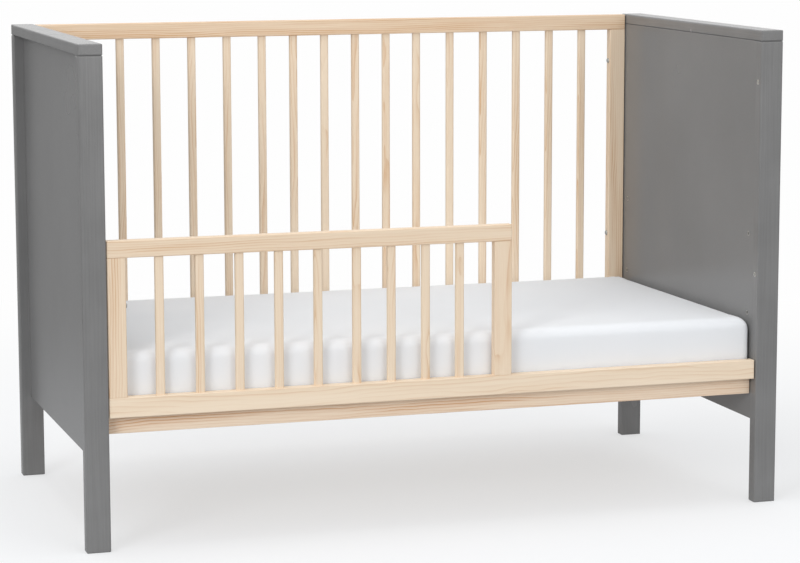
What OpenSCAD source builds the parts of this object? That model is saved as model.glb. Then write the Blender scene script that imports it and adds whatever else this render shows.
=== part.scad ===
// Baby crib with two solid end frames, a slatted back, a half-length toddler
// guard at the front, a slatted mattress base and a mattress in a fitted sheet.
// The origin is on the floor under the middle of the crib. Seen from the front,
// +X is to the right, +Y to the back and +Z up. All sizes are in millimetres.

/* [Overall] */
// Outside length, across both end frames
crib_length = 1428; // [1400:1:1460]
// Outside depth, front to back
crib_depth = 738; // [736:1:760]
// Height from the floor to the top of the caps
crib_height = 964; // [950:1:980]

/* [End frames] */
// Width of a post along the crib
post_width = 47; // [44:1:60]
// Depth of a post, front to back
post_depth = 25; // [25:1:32]
// Thickness of the solid board between the posts
panel_thickness = 26; // [18:1:28]
// Height of the board's bottom edge above the floor
panel_bottom = 171; // [120:1:190]
// Thickness of the cap board on top of an end frame
cap_thickness = 22; // [18:1:26]
// Radius of the painted edges
painted_edge = 3; // [1:0.5:3]
// Radius of the board's top and bottom edges
panel_edge = 1; // [0.5:0.5:2]

/* [Slatted sides] */
// Thickness of a side's rails and stiles
side_thickness = 20; // [20:1:22]
// Distance from the posts' outer face back to the side's face
side_inset = 5; // [3:1:5]
// Gap between a rail's end and the post beside it
side_gap = 1.5; // [0.5:0.5:3]
// Height of a top rail
top_rail_height = 33; // [32:1:45]
// Distance of the back's top face below the caps' top
back_drop = 1; // [0:0.5:3]
// Height of a bottom rail
bottom_rail_height = 39; // [36:1:46]
// Height of a bottom rail's top face above the floor
bottom_rail_top = 296; // [292:1:310]
// Width of a stile
stile_width = 36; // [34:1:42]
// Radius of the pine rails' and stiles' edges
pine_edge = 2; // [1:0.5:3]
// Width of a slat along the crib
slat_width = 17; // [14:1:22]
// Depth of a slat, front to back
slat_depth = 11; // [9:1:13]
// Radius of a slat's edges
slat_edge = 3.5; // [1:0.5:4]
// Depth of a slat's end in its rail
slat_tenon = 12; // [8:1:14]
// Slats on each half of the back
slats_per_half = 8; // [8:1:8]
// Slat spacing near the middle of the crib
inner_pitch = 70; // [66:1:72]
// Slats on each half that stand at the inner spacing
inner_slats = 3; // [3:1:3]
// Slat spacing towards the posts
outer_pitch = 77.8; // [74:0.2:79]

/* [Toddler guard] */
// Distance of the guard's free end from the middle of the crib
guard_end = 141; // [141:1:145]
// Height of the guard's top face above the floor
guard_top = 595; // [540:1:640]

/* [Mattress base] */
// Height of the base's underside above the floor
base_bottom = 223; // [215:1:225]
// Height of the base's rails
base_height = 39; // [34:1:39]
// Thickness of the base's rails
base_rail_thickness = 14; // [12:1:14]
// Distance from the crib's front plane to the base
base_inset = 27; // [27:1:28]
// Width of a base slat
base_slat_width = 60; // [40:1:80]
// Thickness of a base slat
base_slat_thickness = 12; // [10:1:15]
// Number of base slats
base_slat_count = 11; // [9:1:11]
// Depth of the notch that holds a base slat's end
base_notch = 8; // [6:1:9]

/* [Fixings] */
// Radius of a threaded insert
insert_radius = 5; // [4.5:0.5:5]
// Radius of the thread in an insert
thread_radius = 3; // [2.5:0.5:3]
// Length of a threaded insert
insert_length = 13; // [10:1:15]
// Length of the longer threaded inserts that hold the guard
long_insert_length = 15; // [12:1:18]
// Radius of a bolt's head
head_radius = 5.5; // [5:0.5:5.5]
// Height of a bolt's head
head_height = 3; // [2:0.5:4]
// Height of the upper side bolts
upper_bolt_height = 860; // [850:1:875]
// Height of the lower side bolts
lower_bolt_height = 470; // [460:1:480]
// Height of the middle base position
middle_level = 387; // [385:1:395]
// Height of the upper base position
upper_level = 550; // [548:1:560]
// Distance of the base bolts from the front and rear planes
base_bolt_inset = 47.5; // [47:0.5:48]
// Radius of a dowel
dowel_radius = 4; // [3:0.5:4]
// Depth of a dowel in each of the pieces it joins
dowel_depth = 14; // [10:1:14]

/* [Mattress] */
// Length of the mattress
mattress_length = 1311; // [1250:1:1320]
// Width of the mattress
mattress_width = 682; // [640:1:682]
// Thickness of the mattress
mattress_thickness = 118; // [80:1:150]
// Radius of the mattress's edges
mattress_edge = 28; // [15:1:40]
// Gap between the mattress and the right end panel
mattress_end_gap = 2; // [2:1:20]
// Thickness of the fitted sheet
sheet_thickness = 1; // [0.5:0.5:2]
// Width of the sheet's turned-under hem
sheet_hem = 90; // [40:5:150]

/* [Hidden] */

paint = "#7f7f7f";
pine = "#e5d3b9";
base_pine = "#dcc3a0";
beech = "#d2ac7c";
steel = "#b8b8b8";
zinc = "#c8c8c4";
linen = "#ececec";
ticking = "#dedbd2";

LEFT = -1;
RIGHT = 1;
FRONT = -1;
REAR = 1;
overshoot = 1;      // how far a cutting shape passes the face that it starts from
fit = 0.1;          // radial clearance of bolts, dowels and nuts in their holes
arc = 32;           // facets shown on a rounded edge

// End frames
half_length = crib_length/2;
half_depth = crib_depth/2;
inner_x = half_length - post_width;         // inner faces of the posts and panels
post_top = crib_height - cap_thickness;
post_x = half_length - post_width/2;
post_y = half_depth - post_depth/2;
panel_x = inner_x + panel_thickness/2;
panel_width = crib_depth - 2*post_depth;
frame_dowel_count = 5;
frame_dowel_margin = 45;                    // distance of the end dowels from the board's ends
frame_dowel_pitch = (post_top - panel_bottom - 2*frame_dowel_margin)/(frame_dowel_count - 1);
cap_dowel_pitch = panel_width/3;
cap_dowel_depth = 11;

// Slatted sides
side_end = inner_x - side_gap;              // ends of the full-length rails
side_y = half_depth - side_inset - side_thickness/2;
bottom_rail_z = bottom_rail_top - bottom_rail_height/2;
short_insert_heights = [bottom_rail_z, upper_bolt_height];
long_insert_heights = [lower_bolt_height];
back_top = crib_height - back_drop;
back_stile_x = side_end - stile_width/2;
guard_stile_x = guard_end - stile_width/2;
stile_dowel_spread = stile_width/4;
back_slats = 2*slats_per_half;
guard_slats = slats_per_half + 1;
connector_reach = 34;                       // depth of a connector bolt's hole in its rail
connector_length = 33;                      // length of a connector bolt in its rail
tip_clearance = 2;                          // distance of a bolt's tip from its insert's bottom
nut_radius = 5;
nut_length = 15;
nut_setback = 28;                           // distance of a barrel nut from the rail's end

// Mattress base
base_top = base_bottom + base_height;
base_y = half_depth - base_inset - base_rail_thickness/2;
base_inner_y = base_y - base_rail_thickness/2;
base_end_x = side_end - base_rail_thickness/2;
base_inner_x = side_end - base_rail_thickness;
base_slat_pitch = 120;
base_bolt_y = half_depth - base_bolt_inset;
base_level = base_bottom + base_height/2;
base_dowel_spread = 10.5;
base_dowel_depth = 10;
base_edge = 1;
screw_radius = 2;
screw_head_radius = 4;
screw_length = 30;
screw_head_height = 2;
screw_spread = 0.3*base_slat_width;         // two screws hold each end of a slat

// Mattress
mattress_x = inner_x - mattress_end_gap - mattress_length/2;
mattress_lift = 0.3;                        // clearance between the sheet and the slats
mattress_bottom = base_top + mattress_lift + sheet_thickness;
mattress_y = -1;                            // the mattress lies a little to the front
mattress_z = mattress_bottom + mattress_thickness/2;

// Distance of the nth slat from the middle of the crib, counted outwards
function slat_offset(n) =
    n <= inner_slats ? (n - 0.5)*inner_pitch
                     : (inner_slats - 0.5)*inner_pitch + (n - inner_slats)*outer_pitch;

// Place of slat k, counted from the left
function slat_x(k) =
    k <= slats_per_half ? -slat_offset(slats_per_half + 1 - k)
                        : slat_offset(k - slats_per_half);

// Place of base slat i, counted from the left
function base_slat_x(i) = (i - (base_slat_count - 1)/2)*base_slat_pitch;

// Rectangle about the origin with rounded corners
module rounded_rect(w, d, r) {
    square([w - 2*r, d], center = true);
    square([w, d - 2*r], center = true);
    for (sx = [-1, 1], sy = [-1, 1])
        translate([sx*(w/2 - r), sy*(d/2 - r)])
            circle(r = r, $fn = arc);
}

// Block about the origin with all twelve edges rounded
module rounded_block(x, y, z, r) {
    intersection() {
        linear_extrude(z, center = true) rounded_rect(x, y, r);
        rotate([90, 0, 0]) linear_extrude(y, center = true) rounded_rect(x, z, r);
        rotate([90, 0, 90]) linear_extrude(x, center = true) rounded_rect(y, z, r);
    }
}

// Turns children so that their +Z points along X, away from the middle on that side
module facing_x(side) {
    rotate([0, side*90, 0]) children();
}

// Turns children so that their +Z points along Y, away from the middle on that side
module facing_y(end) {
    rotate([-end*90, 0, 0]) children();
}

// Blind hole along +Z from the face at z = 0
module blind_hole(r, depth) {
    translate([0, 0, -overshoot])
        cylinder(r = r, h = depth + overshoot, $fn = 48);
}

// Dowel about the origin along Z, a little looser than its hole
module dowel(below, above) {
    translate([0, 0, -below + fit])
        cylinder(r = dowel_radius - fit, h = below + above - 2*fit, $fn = 24);
}

// Places on one post's inner side at the given heights
module at_post_inserts(side, end, heights) {
    for (z = heights)
        translate([side*inner_x, end*side_y, z]) facing_x(side) children();
}

// Places of the base's inserts in one panel
module at_panel_inserts(side) {
    for (z = [base_level, middle_level, upper_level], end = [FRONT, REAR])
        translate([side*inner_x, end*base_bolt_y, z]) facing_x(side) children();
}

// Places of the dowels between one post and its panel, +Z towards the post
module at_panel_dowels(side, end) {
    for (i = [0:frame_dowel_count - 1])
        translate([side*panel_x, end*panel_width/2, panel_bottom + frame_dowel_margin + i*frame_dowel_pitch])
            facing_y(end) children();
}

// Places of the dowels between one panel and its cap
module at_cap_dowels(side) {
    for (i = [-1:1])
        translate([side*panel_x, i*cap_dowel_pitch, post_top]) children();
}

// Places of a stile's two dowels at height z
module at_stile_dowels(x, y, z) {
    for (s = [-1, 1])
        translate([x + s*stile_dowel_spread, y, z]) children();
}

// Places of the dowels at the base's corners, +Z towards the long rail
module at_base_dowels(side, end) {
    for (s = [-1, 1])
        translate([side*base_end_x, end*base_inner_y, base_level + s*base_dowel_spread])
            facing_y(end) children();
}

// Places of the screws that hold the base slats
module at_base_screws() {
    for (i = [0:base_slat_count - 1], s = [-1, 1], end = [FRONT, REAR])
        translate([base_slat_x(i) + s*screw_spread, end*(base_inner_y + base_notch/2), base_top])
            children();
}

// Outline of a post: its edge next to the board is square, the other three are rounded
module post_outline(side, end) {
    rounded_rect(post_width, post_depth, painted_edge);
    translate([-side*(post_width - painted_edge)/2, -end*(post_depth - painted_edge)/2])
        square(painted_edge, center = true);
}

module post_body(side, end) {
    intersection() {
        linear_extrude(post_top, center = true) post_outline(side, end);
        rotate([90, 0, 0])
            linear_extrude(post_depth, center = true) rounded_rect(post_width, post_top, painted_edge);
        rotate([90, 0, 90])
            linear_extrude(post_width, center = true) rounded_rect(post_depth, post_top, painted_edge);
    }
}

module post(side, end) {
    color(paint)
        difference() {
            translate([side*post_x, end*post_y, post_top/2]) post_body(side, end);
            at_post_inserts(side, end, short_insert_heights)
                blind_hole(insert_radius, insert_length);
            at_post_inserts(side, end, long_insert_heights)
                blind_hole(insert_radius, long_insert_length);
            at_panel_dowels(side, end) blind_hole(dowel_radius, dowel_depth);
            translate([side*post_x, end*post_y, post_top])
                rotate([180, 0, 0]) blind_hole(dowel_radius, dowel_depth);
        }
}

module end_panel(side) {
    color(paint)
        difference() {
            translate([side*panel_x, 0, (panel_bottom + post_top)/2])
                rotate([90, 0, 0])
                    linear_extrude(panel_width, center = true)
                        rounded_rect(panel_thickness, post_top - panel_bottom, panel_edge);
            at_panel_inserts(side) blind_hole(insert_radius, insert_length);
            for (end = [FRONT, REAR])
                at_panel_dowels(side, end) rotate([180, 0, 0]) blind_hole(dowel_radius, dowel_depth);
            at_cap_dowels(side) rotate([180, 0, 0]) blind_hole(dowel_radius, dowel_depth);
        }
}

module top_cap(side) {
    color(paint)
        difference() {
            translate([side*post_x, 0, crib_height - cap_thickness/2])
                rounded_block(post_width, crib_depth, cap_thickness, painted_edge);
            at_cap_dowels(side) blind_hole(dowel_radius, cap_dowel_depth);
            for (end = [FRONT, REAR])
                translate([side*post_x, end*post_y, post_top])
                    blind_hole(dowel_radius, cap_dowel_depth);
        }
}

module frame_dowels(side) {
    color(beech) {
        for (end = [FRONT, REAR]) {
            at_panel_dowels(side, end) dowel(dowel_depth, dowel_depth);
            translate([side*post_x, end*post_y, post_top]) dowel(dowel_depth, cap_dowel_depth);
        }
        at_cap_dowels(side) dowel(dowel_depth, cap_dowel_depth);
    }
}

// Rail along X from x0 to x1 with its top face at height top
module side_rail(x0, x1, y, top, height) {
    translate([(x0 + x1)/2, y, top - height/2])
        rounded_block(x1 - x0, side_thickness, height, pine_edge);
}

// Stile between the heights z0 and z1
module side_stile(x, y, z0, z1) {
    translate([x, y, (z0 + z1)/2])
        linear_extrude(z1 - z0, center = true)
            rounded_rect(stile_width, side_thickness, pine_edge);
}

// Mortise for a slat's end: the slat's own outline, sunk from height z
module mortise(x, y, z, up) {
    translate([x, y, up > 0 ? z - overshoot : z - slat_tenon])
        linear_extrude(slat_tenon + overshoot)
            rounded_rect(slat_width, slat_depth, slat_edge);
}

// Holes for the connector bolt and barrel nut at one end of a bottom rail
module connector_holes(side, end) {
    translate([side*side_end, end*side_y, bottom_rail_z])
        facing_x(-side) blind_hole(thread_radius, connector_reach);
    translate([side*(side_end - nut_setback), end*(side_y - side_thickness/2), bottom_rail_z])
        facing_y(end) blind_hole(nut_radius, nut_length);
}

module bottom_rail_body(end) {
    side_rail(-side_end, side_end, end*side_y, bottom_rail_top, bottom_rail_height);
}

module back_top_rail() {
    color(pine)
        difference() {
            side_rail(-side_end, side_end, side_y, back_top, top_rail_height);
            for (k = [1:back_slats])
                mortise(slat_x(k), side_y, back_top - top_rail_height, 1);
            for (side = [LEFT, RIGHT])
                at_stile_dowels(side*back_stile_x, side_y, back_top - top_rail_height)
                    blind_hole(dowel_radius, dowel_depth);
        }
}

module back_bottom_rail() {
    color(pine)
        difference() {
            bottom_rail_body(REAR);
            for (k = [1:back_slats])
                mortise(slat_x(k), side_y, bottom_rail_top, -1);
            for (side = [LEFT, RIGHT]) {
                connector_holes(side, REAR);
                at_stile_dowels(side*back_stile_x, side_y, bottom_rail_top)
                    rotate([180, 0, 0]) blind_hole(dowel_radius, dowel_depth);
            }
        }
}

// Hole through a stile for a side bolt
module bolt_hole(side, end, z) {
    translate([side*(side_end - stile_width), end*side_y, z])
        facing_x(side)
            translate([0, 0, -overshoot])
                cylinder(r = thread_radius, h = stile_width + 2*overshoot, $fn = 48);
}

module stile_dowel_holes(x, y, z0, z1) {
    at_stile_dowels(x, y, z0) blind_hole(dowel_radius, dowel_depth);
    at_stile_dowels(x, y, z1) rotate([180, 0, 0]) blind_hole(dowel_radius, dowel_depth);
}

module back_stile(side) {
    color(pine)
        difference() {
            side_stile(side*back_stile_x, side_y, bottom_rail_top, back_top - top_rail_height);
            for (z = [lower_bolt_height, upper_bolt_height])
                bolt_hole(side, REAR, z);
            stile_dowel_holes(side*back_stile_x, side_y, bottom_rail_top,
                              back_top - top_rail_height);
        }
}

// Slat k from its tenon in the bottom rail to its tenon under the height top
module slat(k, y, top) {
    color(pine)
        translate([slat_x(k), y, bottom_rail_top - slat_tenon])
            linear_extrude(top - bottom_rail_top + 2*slat_tenon)
                rounded_rect(slat_width, slat_depth, slat_edge);
}

module back_slat(k) {
    slat(k, side_y, back_top - top_rail_height);
}

module guard_slat(k) {
    slat(k, -side_y, guard_top - top_rail_height);
}

module guard_top_rail() {
    color(pine)
        difference() {
            side_rail(-side_end, guard_end, -side_y, guard_top, top_rail_height);
            for (k = [1:guard_slats])
                mortise(slat_x(k), -side_y, guard_top - top_rail_height, 1);
            for (x = [-back_stile_x, guard_stile_x])
                at_stile_dowels(x, -side_y, guard_top - top_rail_height)
                    blind_hole(dowel_radius, dowel_depth);
        }
}

module front_bottom_rail() {
    color(pine)
        difference() {
            bottom_rail_body(FRONT);
            for (k = [1:guard_slats])
                mortise(slat_x(k), -side_y, bottom_rail_top, -1);
            for (side = [LEFT, RIGHT])
                connector_holes(side, FRONT);
            for (x = [-back_stile_x, guard_stile_x])
                at_stile_dowels(x, -side_y, bottom_rail_top)
                    rotate([180, 0, 0]) blind_hole(dowel_radius, dowel_depth);
        }
}

module guard_left_stile() {
    color(pine)
        difference() {
            side_stile(-back_stile_x, -side_y, bottom_rail_top, guard_top - top_rail_height);
            bolt_hole(LEFT, FRONT, lower_bolt_height);
            stile_dowel_holes(-back_stile_x, -side_y, bottom_rail_top,
                              guard_top - top_rail_height);
        }
}

module guard_right_stile() {
    color(pine)
        difference() {
            side_stile(guard_stile_x, -side_y, bottom_rail_top, guard_top - top_rail_height);
            stile_dowel_holes(guard_stile_x, -side_y, bottom_rail_top,
                              guard_top - top_rail_height);
        }
}

module side_dowels() {
    color(beech) {
        for (side = [LEFT, RIGHT], z = [bottom_rail_top, back_top - top_rail_height])
            at_stile_dowels(side*back_stile_x, side_y, z) dowel(dowel_depth, dowel_depth);
        for (x = [-back_stile_x, guard_stile_x], z = [bottom_rail_top, guard_top - top_rail_height])
            at_stile_dowels(x, -side_y, z) dowel(dowel_depth, dowel_depth);
    }
}

module base_long_rail(end) {
    color(base_pine)
        difference() {
            translate([0, end*base_y, base_level])
                rounded_block(2*side_end, base_rail_thickness, base_height, base_edge);
            for (i = [0:base_slat_count - 1])
                translate([base_slat_x(i) - base_slat_width/2,
                           end > 0 ? base_inner_y - overshoot : -base_inner_y - base_notch,
                           base_top - base_slat_thickness])
                    cube([base_slat_width, base_notch + overshoot, base_slat_thickness + overshoot]);
            for (side = [LEFT, RIGHT])
                at_base_dowels(side, end) blind_hole(dowel_radius, base_dowel_depth);
            at_base_screws() rotate([180, 0, 0]) blind_hole(screw_radius, screw_length);
        }
}

module base_end_rail(side) {
    color(base_pine)
        difference() {
            translate([side*base_end_x, 0, base_level])
                cube([base_rail_thickness, 2*base_inner_y, base_height], center = true);
            for (end = [FRONT, REAR]) {
                at_base_dowels(side, end) rotate([180, 0, 0]) blind_hole(dowel_radius, dowel_depth);
                translate([side*base_inner_x, end*base_bolt_y, base_level])
                    facing_x(side)
                        blind_hole(thread_radius, base_rail_thickness + overshoot);
            }
        }
}

module base_slats() {
    color(base_pine)
        difference() {
            for (i = [0:base_slat_count - 1])
                translate([base_slat_x(i), 0, base_top - base_slat_thickness/2])
                    cube([base_slat_width, 2*(base_inner_y + base_notch), base_slat_thickness],
                         center = true);
            at_base_screws() stepped_hole();
        }
}

// Stepped hole for a screw whose head lies flush with the face at z = 0
module stepped_hole() {
    translate([0, 0, -screw_length])
        cylinder(r = screw_radius, h = screw_length, $fn = 24);
    translate([0, 0, -screw_head_height])
        cylinder(r = screw_head_radius, h = screw_head_height + overshoot, $fn = 24);
}

// Screw with its flat head's top at z = 0
module flat_screw() {
    translate([0, 0, -screw_length])
        cylinder(r = screw_radius - fit, h = screw_length, $fn = 24);
    translate([0, 0, -screw_head_height])
        cylinder(r = screw_head_radius - fit, h = screw_head_height, $fn = 24);
}

module base_slat_screws() {
    color(zinc)
        at_base_screws() flat_screw();
}

module base_dowels() {
    color(beech)
        for (side = [LEFT, RIGHT], end = [FRONT, REAR])
            at_base_dowels(side, end) dowel(dowel_depth, base_dowel_depth);
}

// Threaded insert sunk from the face at z = 0
module insert(length) {
    color(zinc)
        difference() {
            cylinder(r = insert_radius, h = length, $fn = 48);
            translate([0, 0, -overshoot])
                cylinder(r = thread_radius, h = length + 2*overshoot, $fn = 48);
        }
}

module post_inserts() {
    for (side = [LEFT, RIGHT], end = [FRONT, REAR]) {
        at_post_inserts(side, end, short_insert_heights) insert(insert_length);
        at_post_inserts(side, end, long_insert_heights) insert(long_insert_length);
    }
}

module panel_inserts() {
    for (side = [LEFT, RIGHT])
        at_panel_inserts(side) insert(insert_length);
}

// Bolt with its head's underside at z = 0 and its shank along +Z
module bolt(length) {
    socket_radius = 2.3;
    socket_depth = 2;
    color(steel) {
        cylinder(r = thread_radius - fit, h = length, $fn = 24);
        difference() {
            translate([0, 0, -head_height])
                cylinder(r1 = head_radius - 1, r2 = head_radius, h = head_height, $fn = 32);
            translate([0, 0, -head_height - overshoot])
                cylinder(r = socket_radius, h = socket_depth + overshoot, $fn = 6);
        }
    }
}

module side_bolts() {
    length = stile_width + side_gap + insert_length - tip_clearance;
    for (side = [LEFT, RIGHT], z = [lower_bolt_height, upper_bolt_height])
        translate([side*(side_end - stile_width), side_y, z]) facing_x(side) bolt(length);
    translate([-side_end + stile_width, -side_y, lower_bolt_height]) facing_x(LEFT) bolt(length);
}

module base_bolts() {
    length = base_rail_thickness + side_gap + insert_length - tip_clearance;
    for (side = [LEFT, RIGHT], end = [FRONT, REAR])
        translate([side*base_inner_x, end*base_bolt_y, base_level]) facing_x(side) bolt(length);
}

module connector_bolts() {
    color(steel)
        for (side = [LEFT, RIGHT], end = [FRONT, REAR])
            translate([side*(side_end - connector_length), end*side_y, bottom_rail_z])
                facing_x(side)
                    cylinder(r = thread_radius - fit,
                             h = connector_length + side_gap + insert_length - tip_clearance,
                             $fn = 24);
}

module barrel_nuts() {
    slot_width = 1.6;
    slot_depth = 2;
    color(zinc)
        for (side = [LEFT, RIGHT], end = [FRONT, REAR])
            translate([side*(side_end - nut_setback), end*(side_y - side_thickness/2), bottom_rail_z])
                facing_y(end)
                    difference() {
                        cylinder(r = nut_radius - fit, h = nut_length, $fn = 32);
                        translate([0, 0, side_thickness/2]) rotate([0, 90, 0])
                            cylinder(r = thread_radius, h = 3*nut_radius, center = true, $fn = 32);
                        translate([-nut_radius, -slot_width/2, -overshoot])
                            cube([2*nut_radius, slot_width, slot_depth + overshoot]);
                    }
}

// The mattress's rounded block, grown on every side by a margin
module mattress_block(margin) {
    translate([mattress_x, mattress_y, mattress_z])
        rounded_block(mattress_length + 2*margin, mattress_width + 2*margin,
                      mattress_thickness + 2*margin, mattress_edge + margin);
}

module mattress() {
    color(ticking) mattress_block(0);
}

module fitted_sheet() {
    color(linen)
        difference() {
            mattress_block(sheet_thickness);
            mattress_block(0);
            translate([mattress_x, mattress_y, mattress_bottom])
                cube([mattress_length - 2*sheet_hem, mattress_width - 2*sheet_hem, mattress_edge],
                     center = true);
        }
}

post(LEFT, FRONT);  // left_front_post
post(LEFT, REAR);  // left_rear_post
post(RIGHT, FRONT);  // right_front_post
post(RIGHT, REAR);  // right_rear_post
end_panel(LEFT);  // left_end_panel
end_panel(RIGHT);  // right_end_panel
top_cap(LEFT);  // left_top_cap
top_cap(RIGHT);  // right_top_cap
frame_dowels(LEFT);  // left_frame_dowels
frame_dowels(RIGHT);  // right_frame_dowels
back_top_rail();
back_bottom_rail();
back_stile(LEFT);  // back_left_stile
back_stile(RIGHT);  // back_right_stile
back_slat(1);  // back_slat_01
back_slat(2);  // back_slat_02
back_slat(3);  // back_slat_03
back_slat(4);  // back_slat_04
back_slat(5);  // back_slat_05
back_slat(6);  // back_slat_06
back_slat(7);  // back_slat_07
back_slat(8);  // back_slat_08
back_slat(9);  // back_slat_09
back_slat(10);  // back_slat_10
back_slat(11);  // back_slat_11
back_slat(12);  // back_slat_12
back_slat(13);  // back_slat_13
back_slat(14);  // back_slat_14
back_slat(15);  // back_slat_15
back_slat(16);  // back_slat_16
guard_top_rail();
front_bottom_rail();
guard_left_stile();
guard_right_stile();
guard_slat(1);  // guard_slat_1
guard_slat(2);  // guard_slat_2
guard_slat(3);  // guard_slat_3
guard_slat(4);  // guard_slat_4
guard_slat(5);  // guard_slat_5
guard_slat(6);  // guard_slat_6
guard_slat(7);  // guard_slat_7
guard_slat(8);  // guard_slat_8
guard_slat(9);  // guard_slat_9
side_dowels();
base_long_rail(FRONT);  // base_front_rail
base_long_rail(REAR);  // base_rear_rail
base_end_rail(LEFT);  // base_left_rail
base_end_rail(RIGHT);  // base_right_rail
base_slats();
base_slat_screws();
base_dowels();
post_inserts();
panel_inserts();
side_bolts();
base_bolts();
connector_bolts();
barrel_nuts();
mattress();
fitted_sheet();
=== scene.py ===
import math
import random

import bmesh
import bpy
from mathutils import Matrix, Vector, noise
from mathutils.bvhtree import BVHTree


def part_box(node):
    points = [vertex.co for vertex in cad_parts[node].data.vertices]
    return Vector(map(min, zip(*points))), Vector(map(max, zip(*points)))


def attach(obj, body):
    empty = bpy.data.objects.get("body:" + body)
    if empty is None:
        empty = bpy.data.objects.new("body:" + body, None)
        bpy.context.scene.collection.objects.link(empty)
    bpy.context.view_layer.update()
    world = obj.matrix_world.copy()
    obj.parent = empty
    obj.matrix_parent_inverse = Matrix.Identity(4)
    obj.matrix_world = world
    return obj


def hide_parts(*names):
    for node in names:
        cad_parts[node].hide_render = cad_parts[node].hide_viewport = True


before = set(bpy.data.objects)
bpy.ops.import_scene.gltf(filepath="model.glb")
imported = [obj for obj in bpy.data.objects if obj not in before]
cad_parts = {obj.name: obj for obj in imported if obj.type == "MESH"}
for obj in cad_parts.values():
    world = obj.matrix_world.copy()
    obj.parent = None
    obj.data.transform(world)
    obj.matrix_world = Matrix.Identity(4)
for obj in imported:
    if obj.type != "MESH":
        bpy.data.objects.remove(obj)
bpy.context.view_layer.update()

# --- Studio ------------------------------------------------------------------------------------
# The crib stands on a pale seamless floor that fades to the white of the backdrop. The room is lit
# from above and from the open front, and is darker beside the left end. The camera looks at the
# open front from the left, a little above the mattress.
scene = bpy.context.scene
scene.view_settings.view_transform = "Standard"


def colour(hex_code):
    """An sRGB hex colour as linear red, green, blue and alpha."""
    parts = [int(hex_code[i:i + 2], 16) / 255 for i in (1, 3, 5)]
    return [p / 12.92 if p <= 0.04045 else ((p + 0.055) / 1.055) ** 2.4 for p in parts] + [1.0]


def add_node(tree, kind, inputs=(), **settings):
    """Adds a node. settings are its properties; inputs maps a socket's name or number to a value
    or to the output socket that feeds it."""
    made = tree.nodes.new(kind)
    for name, value in settings.items():
        setattr(made, name, value)
    for key, value in dict(inputs).items():
        if isinstance(value, bpy.types.NodeSocket):
            tree.links.new(value, made.inputs[key])
        else:
            made.inputs[key].default_value = value
    return made


def new_material(name):
    """An empty node material and its tree."""
    material = bpy.data.materials.new(name)
    material.use_nodes = True
    material.node_tree.nodes.clear()
    return material, material.node_tree


def finish_material(tree, shader):
    add_node(tree, "ShaderNodeOutputMaterial", {"Surface": shader})


camera_place = (-1.645, -5.278, 1.259)
camera_heading = math.radians(-17.56)
camera_tilt = math.radians(-8.46)
camera_roll = math.radians(0.10)
camera_data = bpy.data.cameras.new("camera")
camera_data.sensor_width = 36
camera_data.lens = 121.0
camera = bpy.data.objects.new("camera", camera_data)
scene.collection.objects.link(camera)
camera.matrix_world = (
    Matrix.Translation(camera_place)
    @ Matrix.Rotation(camera_heading, 4, "Z")
    @ Matrix.Rotation(camera_tilt, 4, "X")
    @ Matrix.Rotation(camera_roll, 4, "Y")
    @ Matrix.Rotation(math.pi / 2, 4, "X")
)
scene.camera = camera

# The room as the crib's surfaces see it, against the backdrop's white of 1: the strength of the
# light from the left, the right and overhead. A dark flag stands behind the crib, a little to the
# left, and shiny surfaces mirror it; its numbers are the X of the direction towards it.
light_from_left = 0.44
light_from_right = 0.72
light_from_above = 0.90
flag_direction = -0.18
flag_half_width = 0.04
flag_soft_edge = 0.11
mirrored_flag = 0.10
world = bpy.data.worlds.new("white_room")
world.use_nodes = True
tree = world.node_tree
tree.nodes.clear()
ray = add_node(tree, "ShaderNodeLightPath")
towards = add_node(tree, "ShaderNodeTexCoord")
axes = add_node(tree, "ShaderNodeSeparateXYZ", {0: towards.outputs["Generated"]})
sideways = add_node(tree, "ShaderNodeMapRange",
                    {"Value": axes.outputs["X"], "From Min": -0.9, "From Max": 0.4,
                     "To Min": light_from_left, "To Max": light_from_right})
upwards = add_node(tree, "ShaderNodeMapRange",
                   {"Value": axes.outputs["Z"], "From Min": 0.35, "From Max": 0.9,
                    "To Min": 0.0, "To Max": 1.0})
room = add_node(tree, "ShaderNodeMix",
                {"Factor": upwards.outputs["Result"], "A": sideways.outputs["Result"],
                 "B": light_from_above})
from_flag = add_node(tree, "ShaderNodeMath", {0: axes.outputs["X"], 1: flag_direction},
                     operation="SUBTRACT")
off_flag = add_node(tree, "ShaderNodeMath", {0: from_flag.outputs["Value"]},
                    operation="ABSOLUTE")
mirrored = add_node(tree, "ShaderNodeMapRange",
                    {"Value": off_flag.outputs["Value"], "From Min": flag_half_width,
                     "From Max": flag_soft_edge, "To Min": mirrored_flag, "To Max": 1.0})
seen = add_node(tree, "ShaderNodeMix",
                {"Factor": ray.outputs["Is Glossy Ray"], "A": 1.0,
                 "B": mirrored.outputs["Result"]})
fill = add_node(tree, "ShaderNodeMix",
                {"Factor": ray.outputs["Is Diffuse Ray"], "A": seen.outputs["Result"],
                 "B": room.outputs["Result"]})
sky = add_node(tree, "ShaderNodeBackground",
               {"Color": colour("#ffffff"), "Strength": fill.outputs["Result"]})
add_node(tree, "ShaderNodeOutputWorld", {"Surface": sky.outputs["Background"]})
scene.world = world

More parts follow.
